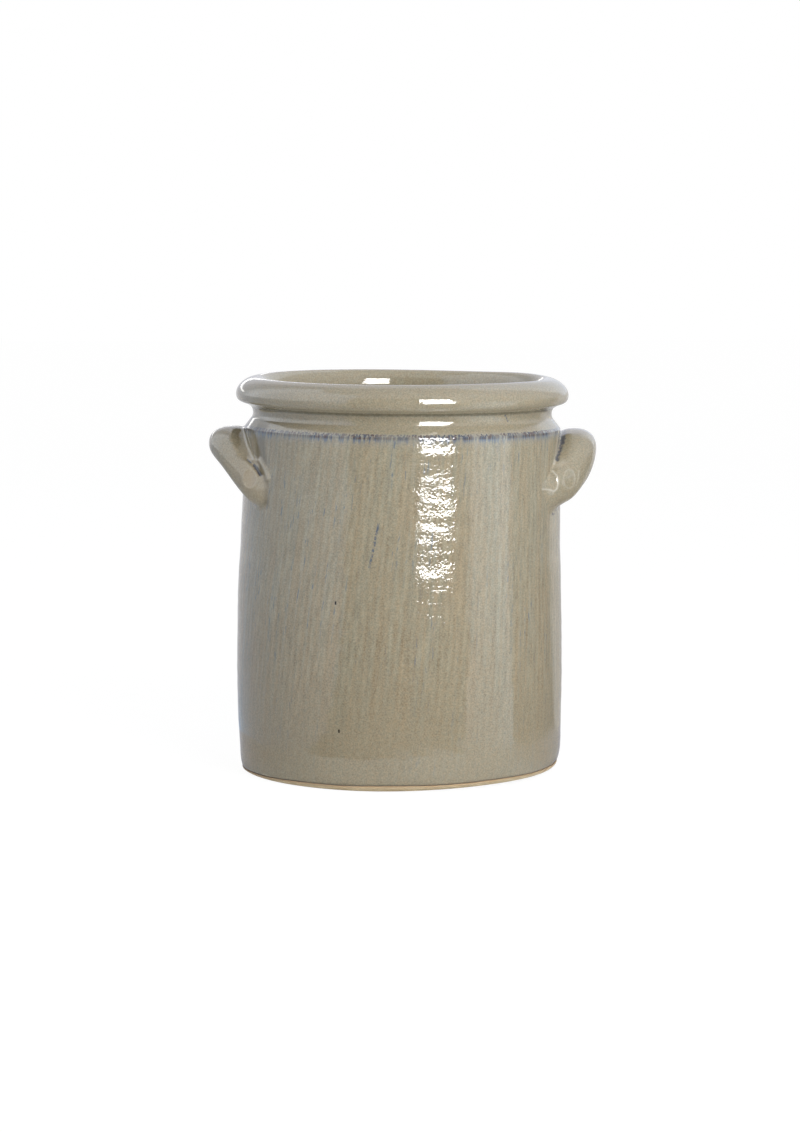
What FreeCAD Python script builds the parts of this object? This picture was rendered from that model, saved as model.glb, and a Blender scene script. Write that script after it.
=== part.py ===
"""A glazed stoneware flower pot: a crock with a rolled rim, a drawn-in neck and two ear handles.

The members are modelled as a potter forms and joins them. A foot ring carries the wall and the
floor slab, a coil seals the inside corner, a neck collar locks on the wall with a ridge, the rolled
rim locks on the collar the same way, and an ear handle is luted to each side of the wall.

Millimetres, +Z up. The origin is on the standing plane, on the pot's axis. The handles lie on X.
"""

import FreeCAD
import Part
import math
import os

from FreeCAD import Vector

# Heights of the whole pot
POT_HEIGHT = 240.0          # standing plane to the top of the rolled rim
RIM_HEIGHT = 17.4           # underside of the rim to its top
NECK_HEIGHT = 14.1          # shoulder edge to the underside of the rim

# Foot ring: the bare clay that the pot stands on
FOOT_INSET = 3.7            # outer edge of the standing face inside the shoulder radius
FOOT_RING_WIDTH = 18.0      # width of the standing face
FOOT_FLARE = 4.6            # how far the bare band leans out above the standing face
FOOT_BAND = 4.0             # height of the bare band, up to the glaze line

# Wall: an almost straight cylinder with a low, slight belly
WALL_THICKNESS = 9.0
GLAZE_STEP = 0.6            # how far the glazed wall stands out past the bare band
HEEL_SWELL = 1.1            # heel radius past the wall's lower edge
HEEL_HEIGHT = 17.0
BELLY_SWELL = 3.4           # belly radius past the shoulder radius
BELLY_HEIGHT = 88.0
WAIST_SWELL = 1.2           # radius under the handles past the shoulder radius
WAIST_DROP = 48.0           # shoulder edge down to that height
SHOULDER_RADIUS = 96.2      # the wall's sharp top edge

# Floor slab and the coil pressed into the inside corner
FLOOR_THICKNESS = 9.0
COIL_WIDTH = 11.0           # along the floor
COIL_HEIGHT = 13.0          # up the wall

# Neck collar
NECK_INSET = 5.1            # narrowest neck radius inside the shoulder radius
NECK_CONE = 7.0             # height of the sloping part above the shoulder
NECK_CONE_INSET = 4.2       # how far that slope draws in
NECK_FLARE = 1.2            # the neck turns out again by this much under the rim

# Rolled rim
RIM_OVERHANG = 10.0         # outermost radius past the narrowest neck radius
RIM_WIDEST = 6.9            # height of the widest ring above the rim's underside
RIM_CREST_INSET = 9.5       # radius of the crest inside the outermost radius
RIM_LIP_DROP = 9.5          # crest down to where the inside turns straight

# Locking ridges of the luted joints
RIDGE_WIDTH = 3.0
RIDGE_HEIGHT = 4.0
SLIP_GAP = 0.2              # room for the joining slip around a ridge, the slab or the coil

# Ear handles
HANDLE_REACH = 22.2         # crown past the shoulder radius
HANDLE_DROOP = 2.0          # how far the crown's outer edge hangs below its middle line
HANDLE_HALF_WIDTH = 53.0    # along the wall, from the middle to each end
HANDLE_ROOT = 6.0           # depth the blank reaches into the wall before it is trimmed to it
LEFT_RISE = 2.0             # top of the crown above the shoulder edge
LEFT_CROWN_HEIGHT = 18.0
LEFT_LEG_DROP = 28.0        # middle of the crown down to the middle of a leg
LEFT_LEG_HEIGHT = 28.0
LEFT_LEG_REACH = 9.0
RIGHT_RISE = 0.5
RIGHT_CROWN_HEIGHT = 30.0
RIGHT_LEG_DROP = 15.0
RIGHT_LEG_HEIGHT = 36.0
RIGHT_LEG_REACH = 18.5
THUMB_RADIUS = 15.0         # ball that stands for the thumb
THUMB_DEPTH = 1.6           # how deep it is pressed into each end of a handle

# Shape constants of the drawing, not sizes
ROUND = 0.5523              # Bezier handle length that draws a quarter ellipse
SECTION_POINTS = 16         # points around one handle section
SECTION_PLACES = (0.0, 0.18, 0.36, 0.54, 0.72, 0.86, 0.95, 0.992)   # shares of a handle's half width
THUMB_PLACE = 0.8           # share of the half width where a thumb mark lies
HALVINGS = 50               # steps of the search for a height on a curve

# Places that follow from the sizes
rim_underside = POT_HEIGHT - RIM_HEIGHT
shoulder_z = rim_underside - NECK_HEIGHT
foot_radius = SHOULDER_RADIUS - FOOT_INSET
band_radius = foot_radius + FOOT_FLARE
wall_foot_radius = band_radius + GLAZE_STEP
floor_z = FOOT_BAND + FLOOR_THICKNESS
neck_radius = SHOULDER_RADIUS - NECK_INSET
neck_top_radius = neck_radius + NECK_FLARE
throat_radius = neck_radius - WALL_THICKNESS
rim_radius = neck_radius + RIM_OVERHANG
shoulder_inside = SHOULDER_RADIUS - WALL_THICKNESS
wall_ridge_middle = (SHOULDER_RADIUS + shoulder_inside) / 2
collar_ridge_middle = (neck_top_radius + throat_radius) / 2

AXIS = Vector(0, 0, 1)
ORIGIN = Vector(0, 0, 0)


def place(point):
    """A (radius, height) point in the drawing plane of the profiles."""
    return Vector(point[0], 0, point[1])


def line(start, end):
    return [Part.LineSegment(place(start), place(end)).toShape()]


def polyline(*points):
    return [edge for a, b in zip(points, points[1:]) for edge in line(a, b)]


def bezier(*poles):
    curve = Part.BezierCurve()
    curve.setPoles([place(p) for p in poles])
    return [curve.toShape()]


def rounded(start, corner, end):
    """A quarter ellipse from start to end that leaves and arrives towards the corner."""
    near_start = [s + ROUND * (c - s) for s, c in zip(start, corner)]
    near_end = [e + ROUND * (c - e) for e, c in zip(end, corner)]
    return bezier(start, near_start, near_end, end)


def smooth_curve(points):
    curve = Part.BSplineCurve()
    curve.interpolate([place(p) for p in points])
    return curve


def smooth(points):
    return [smooth_curve(points).toShape()]


def parameter_at_height(curve, height):
    """Where a curve that rises all the way passes a height, by halving the interval."""
    low, high = curve.FirstParameter, curve.LastParameter
    for _ in range(HALVINGS):
        middle = (low + high) / 2
        if curve.value(middle).z < height:
            low = middle
        else:
            high = middle
    return (low + high) / 2


def turned(edges):
    """A solid of revolution about the pot's axis from a closed profile."""
    wire = Part.Wire(Part.__sortEdges__(edges))
    return Part.Face(wire).revolve(ORIGIN, AXIS, 360)


def wall_points(inset):
    """Points of the wall's curve from the foot band to the shoulder, moved in by inset."""
    radii_and_heights = (
        (wall_foot_radius, FOOT_BAND),
        (wall_foot_radius + HEEL_SWELL, HEEL_HEIGHT),
        (SHOULDER_RADIUS + BELLY_SWELL, BELLY_HEIGHT),
        (SHOULDER_RADIUS + WAIST_SWELL, shoulder_z - WAIST_DROP),
        (SHOULDER_RADIUS, shoulder_z),
    )
    return [(radius - inset, height) for radius, height in radii_and_heights]


def neck_outside():
    """The outside of the neck, from the shoulder edge to the underside of the rim."""
    cone_top = (SHOULDER_RADIUS - NECK_CONE_INSET, shoulder_z + NECK_CONE)
    slope = NECK_CONE_INSET / NECK_CONE
    bend_height = (NECK_INSET - NECK_CONE_INSET) / slope
    bend = (neck_radius, cone_top[1] + bend_height)
    top = (neck_top_radius, rim_underside)
    return line((SHOULDER_RADIUS, shoulder_z), cone_top) + bezier(cone_top, bend, (neck_radius, top[1]), top)


def ridge(middle, base, clearance=0.0):
    """Outline of a locking ridge that stands on base, read from its outer to its inner foot."""
    outer = middle + RIDGE_WIDTH / 2 + clearance
    inner = middle - RIDGE_WIDTH / 2 - clearance
    top = base + RIDGE_HEIGHT + clearance
    return [(outer, base), (outer, top), (inner, top), (inner, base)]


def make_foot_ring():
    inner = foot_radius - FOOT_RING_WIDTH
    standing = line((inner, 0), (foot_radius, 0))
    band = rounded((foot_radius, 0), (band_radius, 0), (band_radius, FOOT_BAND))
    rest = polyline((band_radius, FOOT_BAND), (inner, FOOT_BAND), (inner, 0))
    return turned(standing + band + rest)


def make_floor_slab():
    radius = wall_foot_radius - WALL_THICKNESS - SLIP_GAP
    return Part.makeCylinder(radius, FLOOR_THICKNESS, Vector(0, 0, FOOT_BAND))


def make_body_wall():
    outside = wall_points(0)
    inside = wall_points(WALL_THICKNESS)
    top = [outside[-1], *ridge(wall_ridge_middle, shoulder_z), inside[-1]]
    foot = line(inside[0], outside[0])
    return turned(smooth(outside) + polyline(*top) + smooth(inside) + foot)


def make_seam_coil():
    """The coil in the inside corner, whose back follows the wall's inside curve."""
    wall = smooth_curve(wall_points(WALL_THICKNESS + SLIP_GAP))
    low = parameter_at_height(wall, floor_z)
    high = parameter_at_height(wall, floor_z + COIL_HEIGHT)
    corner = (wall.value(low).x, floor_z)
    wall_end = (wall.value(high).x, floor_z + COIL_HEIGHT)
    floor_end = (corner[0] - COIL_WIDTH, floor_z)
    back = [wall.toShape(low, high)]
    return turned(rounded(floor_end, corner, wall_end) + back + line(corner, floor_end))


def make_neck_collar():
    top = [
        (neck_top_radius, rim_underside),
        *ridge(collar_ridge_middle, rim_underside),
        (throat_radius, rim_underside),
    ]
    inside = bezier(
        (throat_radius, rim_underside),
        (throat_radius, shoulder_z + NECK_HEIGHT / 3),
        (shoulder_inside, shoulder_z + NECK_HEIGHT / 2),
        (shoulder_inside, shoulder_z),
    )
    groove = ridge(wall_ridge_middle, shoulder_z, SLIP_GAP)
    seat = [(shoulder_inside, shoulder_z), *reversed(groove), (SHOULDER_RADIUS, shoulder_z)]
    return turned(neck_outside() + polyline(*top) + inside + polyline(*seat))


def make_rolled_rim():
    start = (neck_top_radius, rim_underside)
    widest = (rim_radius, rim_underside + RIM_WIDEST)
    crest = (rim_radius - RIM_CREST_INSET, POT_HEIGHT)
    lip = (throat_radius, POT_HEIGHT - RIM_LIP_DROP)
    inner_foot = (throat_radius, rim_underside)
    bead = (
        rounded(start, (rim_radius, rim_underside), widest)
        + rounded(widest, (rim_radius, POT_HEIGHT), crest)
        + rounded(crest, (throat_radius, POT_HEIGHT), lip)
    )
    groove = ridge(collar_ridge_middle, rim_underside, SLIP_GAP)
    return turned(bead + line(lip, inner_foot) + polyline(inner_foot, *reversed(groove), start))


def make_outside_envelope():
    """Everything inside the outer face of the wall and the neck, to trim the handles to it."""
    wall = wall_points(0)
    floor = line((0, FOOT_BAND), wall[0])
    top = polyline((neck_top_radius, rim_underside), (0, rim_underside), (0, FOOT_BAND))
    return turned(floor + smooth(wall) + neck_outside() + top)


def handle_section(share, rise, crown_height, leg_drop, leg_height, leg_reach):
    """One rounded section of a handle, in the upright plane at that share of its half width."""
    leg = math.sin(share * math.pi / 2) ** 2
    closing = math.sqrt(1 - share**4)
    crown_middle = shoulder_z + rise - crown_height / 2
    reach = (HANDLE_REACH + (leg_reach - HANDLE_REACH) * leg) * closing - HANDLE_ROOT / 2 * (1 - closing)
    half_height = (crown_height + (leg_height - crown_height) * leg) / 2 * closing
    half_depth = (reach + HANDLE_ROOT) / 2
    middle_radius = SHOULDER_RADIUS + reach - half_depth
    middle_z = crown_middle - leg_drop * leg
    angle = share * HANDLE_HALF_WIDTH / SHOULDER_RADIUS
    points = []
    for step in range(SECTION_POINTS):
        turn = 2 * math.pi * step / SECTION_POINTS
        radius = middle_radius + half_depth * math.cos(turn)
        height = middle_z + half_height * math.sin(turn) - HANDLE_DROOP * closing * math.cos(turn)
        points.append(Vector(radius * math.cos(angle), radius * math.sin(angle), height))
    return points


def section_wire(points):
    curve = Part.BSplineCurve()
    curve.interpolate(points, PeriodicFlag=True)
    return Part.Wire(curve.toShape())


def mirrored(points):
    return [Vector(p.x, -p.y, p.z) for p in points]


def make_handle(envelope, facing, rise, crown_height, leg_drop, leg_height, leg_reach):
    """An ear handle whose crown stands out on the +X side, then turned to the facing angle."""
    sizes = (rise, crown_height, leg_drop, leg_height, leg_reach)
    back_half = [handle_section(share, *sizes) for share in SECTION_PLACES]
    front_half = [mirrored(points) for points in reversed(back_half[1:])]
    blank = Part.makeLoft([section_wire(points) for points in front_half + back_half], True)
    ear = blank.cut(envelope)
    leg_z = shoulder_z + rise - crown_height / 2 - leg_drop
    for thumb in thumb_balls(leg_z, leg_reach):
        ear = ear.cut(thumb)
    ear.rotate(ORIGIN, AXIS, facing)
    return ear


def thumb_balls(leg_z, leg_reach):
    """Balls that press a thumb mark into the outer face of each end of a handle."""
    angle = THUMB_PLACE * HANDLE_HALF_WIDTH / SHOULDER_RADIUS
    out = SHOULDER_RADIUS + leg_reach * math.sqrt(1 - THUMB_PLACE**4) + THUMB_RADIUS - THUMB_DEPTH
    for side in (1, -1):
        yield Part.makeSphere(THUMB_RADIUS, Vector(out * math.cos(angle), side * out * math.sin(angle), leg_z))


def main():
    os.makedirs("parts", exist_ok=True)
    envelope = make_outside_envelope()
    left_sizes = (LEFT_RISE, LEFT_CROWN_HEIGHT, LEFT_LEG_DROP, LEFT_LEG_HEIGHT, LEFT_LEG_REACH)
    right_sizes = (RIGHT_RISE, RIGHT_CROWN_HEIGHT, RIGHT_LEG_DROP, RIGHT_LEG_HEIGHT, RIGHT_LEG_REACH)
    members = {
        "foot_ring": make_foot_ring(),
        "floor_slab": make_floor_slab(),
        "seam_coil": make_seam_coil(),
        "body_wall": make_body_wall(),
        "neck_collar": make_neck_collar(),
        "rolled_rim": make_rolled_rim(),
        "left_handle": make_handle(envelope, 180, *left_sizes),
        "right_handle": make_handle(envelope, 0, *right_sizes),
    }
    for name, shape in members.items():
        shape.exportStep(f"parts/{name}.step")
        box = shape.BoundBox
        print(f"{name}: {len(shape.Solids)} solid, valid {shape.isValid()}, {shape.Volume / 1000:.1f} cm3, "
              f"z {box.ZMin:.1f} to {box.ZMax:.1f}, x {box.XMin:.1f} to {box.XMax:.1f}")


main()
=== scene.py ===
"""The looks of the glazed stoneware flower pot.

Every solid of the frame gets a hand-made version in the same place: turned pieces with throwing
marks and a slight lean, and ear handles pressed on by hand. Shapes are written in millimetres in
the design's own even coordinates and then made uneven all at once, so that neighbours still meet.
"""

import math
from dataclasses import dataclass

import bpy
import numpy as np
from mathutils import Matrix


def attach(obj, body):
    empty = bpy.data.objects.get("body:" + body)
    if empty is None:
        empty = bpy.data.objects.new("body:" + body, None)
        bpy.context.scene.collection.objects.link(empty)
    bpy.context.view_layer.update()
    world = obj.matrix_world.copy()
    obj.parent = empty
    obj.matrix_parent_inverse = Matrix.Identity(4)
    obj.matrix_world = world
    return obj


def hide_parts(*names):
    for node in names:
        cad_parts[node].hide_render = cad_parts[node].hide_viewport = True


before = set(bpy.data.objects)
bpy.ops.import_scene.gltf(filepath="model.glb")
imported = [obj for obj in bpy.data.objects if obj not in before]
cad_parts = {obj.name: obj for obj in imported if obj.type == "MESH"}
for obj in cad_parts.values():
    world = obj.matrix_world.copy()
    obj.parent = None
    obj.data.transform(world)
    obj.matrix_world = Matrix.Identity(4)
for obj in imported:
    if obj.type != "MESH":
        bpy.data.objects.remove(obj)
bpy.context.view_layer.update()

MM = 0.001

# Sizes of the even pot, in millimetres
SHOULDER_Z = 210.0
SHOULDER_RADIUS = 96.2
FOOT_RADIUS = 92.0
FOOT_RING_INSIDE = 74.5
FOOT_BAND = 4.0
BAND_RADIUS = 97.0
GLAZE_STEP = 0.6
GLAZE_EDGE = 0.7
WALL_THICKNESS = 9.0
HEEL_HEIGHT = 17.0
HEEL_RADIUS = 98.75
HEEL_ROUNDING = 1.4
BELLY_HEIGHT = 88.0
BELLY_RADIUS = 99.4
WAIST_HEIGHT = 150.0
WAIST_RADIUS = 97.7
FLOOR_Z = 13.0
SLAB_RADIUS = 88.5
COIL_WIDTH = 11.0
COIL_HEIGHT = 13.0
NECK_CONE_TOP = (92.0, 215.5)
NECK_RADIUS = 90.3
NECK_TOP = (93.6, 223.6)
GROOVE_Z = 223.0
GROOVE_WIDTH = 1.3
THROAT_RADIUS = 82.1
RIM_WIDEST = (101.1, 230.2)
RIM_CREST = (88.6, 240.5)
RIM_FLARE = (2.6, 2.1)
RIM_FULL_BELOW = 5.6
RIM_FULL_ABOVE = 5.4
RIM_CREST_RUN = 6.0
RIM_LIP_Z = 231.0

# How far the hand-made pot strays from the even one, in millimetres
LEAN = 1.75                 # the neck and rim stand this far to the +X side of the belly
LEAN_START = 100.0          # height where the lean begins
FOOT_SHIFT = 0.1            # the standing edge lies this far off, towards +X
HEEL_SHIFT = 0.3            # the heel bulges this far towards +X
HEEL_SPREAD = 12.0          # over about this much of the height
FOOT_LIFT = 1.8             # the sponged outer edge of the foot rises this much on the +X side
FOOT_LIFT_RADII = (82, 91)  # between these radii the rise sets in
GLAZE_LINE_RISE = 1.35      # the glaze line is this much higher on the +X side
GLAZE_LINE_DIP = 1.2        # and dips this much in one place at the left
GLAZE_DIP_ANGLE = 3.1       # where that is, in radians from +X
GLAZE_DIP_WIDTH = 0.35      # and how wide, in radians
GLAZE_RIPPLE = 0.14         # small waves of the glaze line
GLAZE_LINE_REACH = 22.0     # the wall follows its glaze line up to this height over it
RIM_TILT = 0.008            # fall of the rim towards +X, per millimetre
RIM_WARP = 0.35             # the rim rises this much at front right and back left
RIM_LIFT = 0.95             # and this much more in one place at the back right
RIM_LIFT_ANGLE = 0.5        # where that is, in radians from +X
RIM_LIFT_WIDTH = 0.4        # and how wide, in radians
SET_OFF = -1.5              # the whole pot along X, to keep both handles in the design's box
KILN_SHRINK = 0.995         # size of the fired pot against the even one
SEAM_SINK = 0.02            # a handle's thin edge dives this far under the wall's face

COLUMNS = 640               # steps around the turned pieces
WALL_ROWS = 206             # steps up the outer face of the wall
INSIDE_ROWS = 90            # steps down its inner face
SHARP_ANGLE = 38            # degrees from which two faces meet in an edge
QUARTER = 0.5523            # Bezier handle length that draws a quarter ellipse

# Camera, in millimetres around the even pot
CAMERA_AZIMUTH = -3.0
CAMERA_DISTANCE = 2155.5
CAMERA_HEIGHT = 356.5
AIM_HEIGHT = 122.3


def smoothstep(start, end, value):
    share = np.clip((value - start) / (end - start), 0, 1)
    return share * share * (3 - 2 * share)


def bell(value, width):
    return np.exp(-((value / width) ** 2))


def straight(start, end, count):
    return np.linspace(start, end, count)


def bezier(start, near_start, near_end, end, count):
    t = np.linspace(0, 1, count)[:, None]
    poles = [np.array(p, float) for p in (start, near_start, near_end, end)]
    weights = ((1 - t) ** 3, 3 * t * (1 - t) ** 2, 3 * t * t * (1 - t), t**3)
    return sum(w * p for w, p in zip(weights, poles))


def rounded(start, corner, end, count):
    """A quarter ellipse from start to end, heading for the corner at both ends."""
    start, corner, end = (np.array(p, float) for p in (start, corner, end))
    return bezier(start, start + QUARTER * (corner - start), end + QUARTER * (corner - end), end, count)


def direction(azimuth):
    """Unit vector along the floor; azimuth 0 points to the front and grows to the right."""
    angle = math.radians(azimuth)
    return np.array([math.sin(angle), -math.cos(angle), 0.0])


BELLY_CURVE = np.polyfit(
    (HEEL_HEIGHT, BELLY_HEIGHT, WAIST_HEIGHT, SHOULDER_Z),
    (HEEL_RADIUS, BELLY_RADIUS, WAIST_RADIUS, SHOULDER_RADIUS),
    3,
)


def wall_radius(z):
    """Outside radius of the wall: a low belly over a rounded heel."""
    heel = np.clip((HEEL_HEIGHT - z) / (HEEL_HEIGHT - FOOT_BAND), 0, None)
    return np.polyval(BELLY_CURVE, z) - HEEL_ROUNDING * heel**4


# Unevenness of the hand-made pot

# Rings that tilt the face up, in degrees, or down where below zero: height, half height, tilt
THROWING_RINGS = [(194.0, 6.5, -2.5), (170.0, 14.0, 0.6), (143.5, 6.0, -1.3), (132.0, 5.5, 2.1)]
RING_SWAY = 1.2             # the rings rise and fall this much around the pot
FINE_RINGS = 0.012          # relief of the fine rings between them
SPIRAL_PITCH = 39.0         # rise of the throwing spiral in one turn
SPIRAL_RELIEF = 0.05
BROAD_LUMPS = 0.05
SMALL_LUMPS = 0.02
OVAL = 0.2                  # out of round, with two lobes
TRIANGLE = 0.15             # and with three
FINGER_PITCH = 13.0         # finger rings inside
FINGER_RELIEF = 0.35
FLOOR_SPIRAL_PITCH = 11.0   # finger spiral on the floor
FLOOR_SPIRAL_RELIEF = 0.5
STREAK_LEAN = 4.5           # degrees that the glaze's streaks lean at the front
STREAK_LEAN_SWING = 3.5     # degrees more at -X and less at +X


def waves(phi, z, lobes, length, seed, count=9):
    """Smooth irregular waves of about unit size that close around the pot."""
    rng = np.random.default_rng(seed)
    total = np.zeros(np.broadcast(phi, z).shape)
    for _ in range(count):
        turns = rng.integers(-lobes, lobes + 1)
        pitch = 2 * math.pi / (length * rng.uniform(0.7, 1.4))
        total += np.sin(turns * phi + pitch * z + rng.uniform(0, 2 * math.pi))
    return total / math.sqrt(count / 2)


def outside_relief(phi, z):
    """Throwing rings, spiral and soft lumps of the outer face."""
    spiral = SPIRAL_RELIEF * np.sin(2 * math.pi * z / SPIRAL_PITCH + phi)
    rings = FINE_RINGS * waves(phi, z, lobes=5, length=8.5, seed=12)
    for height, reach, tilt in THROWING_RINGS:
        rise = z - height - RING_SWAY * np.sin(phi + 0.3)
        rings = rings - math.tan(math.radians(tilt)) * reach * np.tanh(rise / reach)
    lumps = BROAD_LUMPS * waves(phi, z, lobes=13, length=48.0, seed=13)
    lumps = lumps + SMALL_LUMPS * waves(phi, z, lobes=34, length=12.0, seed=14)
    out_of_round = OVAL * np.cos(2 * phi + 0.6) + TRIANGLE * np.cos(3 * phi + 2.0)
    over_foot = smoothstep(FOOT_BAND, FOOT_BAND + 10, z)
    return (spiral + rings + lumps) * over_foot + out_of_round * smoothstep(5, 60, z)


def inside_relief(phi, z):
    """Finger rings of the inner face."""
    sway = 0.6 * waves(phi, z, lobes=3, length=60.0, seed=21)
    rings = FINGER_RELIEF * np.sin(2 * math.pi * z / FINGER_PITCH + phi + sway)
    coil_top = FLOOR_Z + COIL_HEIGHT
    below_neck = smoothstep(SHOULDER_Z + 8, SHOULDER_Z - 5, z)
    return rings * smoothstep(coil_top, coil_top + 20, z) * below_neck


def turn_between(start, end):
    """Angle from start to end, from minus half a turn to half a turn."""
    return np.mod(end - start + math.pi, 2 * math.pi) - math.pi


def glaze_line_shift(phi):
    """How far the lower edge of the glaze lies above its even height."""
    dip = GLAZE_LINE_DIP * bell(turn_between(GLAZE_DIP_ANGLE, phi), GLAZE_DIP_WIDTH)
    ripple = GLAZE_RIPPLE * waves(phi, np.zeros_like(phi), lobes=11, length=1.0, seed=31)
    return GLAZE_LINE_RISE * np.cos(phi) - dip + ripple


def uneven(radius, phi, z, relief):
    """Uneven place, in millimetres, of points given by their even radius, angle and height."""
    upper = smoothstep(LEAN_START, SHOULDER_Z, z)
    near_foot = np.clip(1 - z / FOOT_BAND, 0, 1)
    over_line = np.clip(1 - (z - FOOT_BAND) / GLAZE_LINE_REACH, 0, 1) ** 2
    line = np.where(z < FOOT_BAND, z / FOOT_BAND, over_line)
    full = radius + relief
    heel = bell(z - HEEL_HEIGHT, HEEL_SPREAD) * smoothstep(0, FOOT_BAND, z)
    x = full * np.cos(phi) + LEAN * upper + FOOT_SHIFT * near_foot + HEEL_SHIFT * heel
    y = full * np.sin(phi)
    right_side = smoothstep(-0.4, 0.8, np.cos(phi))
    lifted = FOOT_LIFT * right_side * near_foot * smoothstep(*FOOT_LIFT_RADII, radius)
    raised = RIM_LIFT * bell(turn_between(RIM_LIFT_ANGLE, phi), RIM_LIFT_WIDTH)
    warp = raised - RIM_WARP * np.sin(2 * phi)
    rolled = warp * smoothstep(SHOULDER_Z, RIM_CREST[1], z)
    tilt = RIM_TILT * full * np.cos(phi) * upper
    return np.stack([x, y, z - tilt + line * glaze_line_shift(phi) + lifted + rolled], -1)


def in_place(spots):
    """Uneven millimetres moved into the frame, in metres."""
    return (spots + np.array([SET_OFF, 0, 0])) * KILN_SHRINK * MM


def even_place(radius, phi, z):
    """Even place in metres, which the glaze pattern follows."""
    return np.stack([radius * np.cos(phi), radius * np.sin(phi), z], -1) * MM


def flow_place(radius, phi, z):
    """Even place turned with height, so that streaks along it lean, most on the -X side."""
    lean = np.radians(STREAK_LEAN - STREAK_LEAN_SWING * np.cos(phi))
    turn = np.tan(lean) * (z - SHOULDER_Z / 2) / SHOULDER_RADIUS
    return even_place(radius, phi - turn, z)


# Meshes


def make_piece(name, node, mesh_parts, material):
    """A finished mesh object that stands for one solid of the frame."""
    places, faces, layers = mesh_parts
    mesh = bpy.data.meshes.new(name)
    mesh.from_pydata(places.tolist(), [], faces)
    mesh.polygons.foreach_set("use_smooth", np.ones(len(mesh.polygons), bool))
    mesh.set_sharp_from_angle(angle=math.radians(SHARP_ANGLE))
    for title, values in layers.items():
        kind, field = ("FLOAT", "value") if values.ndim == 1 else ("FLOAT_VECTOR", "vector")
        layer = mesh.attributes.new(title, kind, "POINT")
        layer.data.foreach_set(field, values.astype(np.float32).ravel())
    mesh.materials.append(material)
    piece = bpy.data.objects.new(name, mesh)
    bpy.context.scene.collection.objects.link(piece)
    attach(piece, "root")
    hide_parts(node)


def touches(faces, name):
    """Which points of an outline lie on a face of that name, as a column."""
    return np.array([name in (face, faces[i - 1]) for i, face in enumerate(faces)])[:, None]


def turned_mesh(stretches):
    """Mesh parts of a ring whose outline is a closed loop of stretches.

    A stretch is (points, face): the face is "out", "in" or "" for a face inside a joint.
    """
    outline = np.concatenate([points[:-1] for points, _ in stretches])
    faces = [face for points, face in stretches for _ in points[:-1]]
    outside = touches(faces, "out")
    within = touches(faces, "in")
    radius, z = outline[:, :1], outline[:, 1:]
    phi = np.linspace(0, 2 * math.pi, COLUMNS, endpoint=False)[None, :]
    middle = (radius.max() + radius.min()) / 2
    relief = np.where(radius > middle, outside_relief(phi, z), inside_relief(phi, z))
    radius, phi, z = (np.broadcast_to(a, relief.shape) for a in (radius, phi, z))
    places = in_place(uneven(radius, phi, z, relief))
    index = np.arange(relief.size).reshape(relief.shape)
    below, beside = np.roll(index, -1, 0), np.roll(index, -1, 1)
    corner = np.roll(below, -1, 1)
    quads = np.stack([index, beside, corner, below], -1).reshape(-1, 4)
    layers = {
        "clay": even_place(radius, phi, z).reshape(-1, 3),
        "flow": flow_place(radius, phi, z).reshape(-1, 3),
        "outside": (outside * np.ones_like(z)).ravel(),
        "within": (within * np.ones_like(z)).ravel(),
        # glaze gathered under the rim, darkened further with painted shade
        "groove_pool_and_shade_band": (outside * bell(z - GROOVE_Z, GROOVE_WIDTH)).ravel(),
    }
    return places.reshape(-1, 3), quads.tolist(), layers


def make_foot_ring(material):
    stretches = [
        (straight((FOOT_RING_INSIDE, 0), (FOOT_RADIUS, 0), 12), ""),
        (rounded((FOOT_RADIUS, 0), (BAND_RADIUS, 0), (BAND_RADIUS, FOOT_BAND), 14), "out"),
        (straight((BAND_RADIUS, FOOT_BAND), (FOOT_RING_INSIDE, FOOT_BAND), 6), ""),
        (straight((FOOT_RING_INSIDE, FOOT_BAND), (FOOT_RING_INSIDE, 0), 4), ""),
    ]
    make_piece("foot_ring_clay", "foot_ring", turned_mesh(stretches), material)


def make_body_wall(material):
    low_radius = float(wall_radius(FOOT_BAND))
    edge_top = FOOT_BAND + GLAZE_EDGE
    edge_start = (low_radius - GLAZE_STEP, FOOT_BAND)
    edge = rounded(edge_start, (low_radius, FOOT_BAND), (low_radius + 0.05, edge_top), 5)
    heights = np.linspace(edge_top, SHOULDER_Z, WALL_ROWS)
    outside = np.stack([wall_radius(heights), heights], -1)
    inside_heights = np.linspace(SHOULDER_Z, FOOT_BAND, INSIDE_ROWS)
    inside = np.stack([wall_radius(inside_heights) - WALL_THICKNESS, inside_heights], -1)
    stretches = [
        (edge, "out"),
        (outside, "out"),
        (straight(outside[-1], inside[0], 4), ""),
        (inside, "in"),
        (straight(inside[-1], edge[0], 4), ""),
    ]
    make_piece("body_wall_glazed", "body_wall", turned_mesh(stretches), material)


def make_neck_collar(material):
    underside = NECK_TOP[1]
    shoulder_inside = (SHOULDER_RADIUS - WALL_THICKNESS, SHOULDER_Z)
    throat = (THROAT_RADIUS, underside)
    cone_top = NECK_CONE_TOP[1]
    narrow_start = (NECK_RADIUS, cone_top + 1.5)
    narrow_end = (NECK_RADIUS, underside - 1)
    below_throat = (THROAT_RADIUS, SHOULDER_Z + 4.7)
    over_shoulder = (shoulder_inside[0], cone_top)
    stretches = [
        (straight((SHOULDER_RADIUS, SHOULDER_Z), NECK_CONE_TOP, 10), "out"),
        (bezier(NECK_CONE_TOP, narrow_start, narrow_end, NECK_TOP, 14), "out"),
        (straight(NECK_TOP, throat, 4), ""),
        (bezier(throat, below_throat, over_shoulder, shoulder_inside, 14), "in"),
        (straight(shoulder_inside, (SHOULDER_RADIUS, SHOULDER_Z), 4), ""),
    ]
    make_piece("neck_collar_glazed", "neck_collar", turned_mesh(stretches), material)


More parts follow.
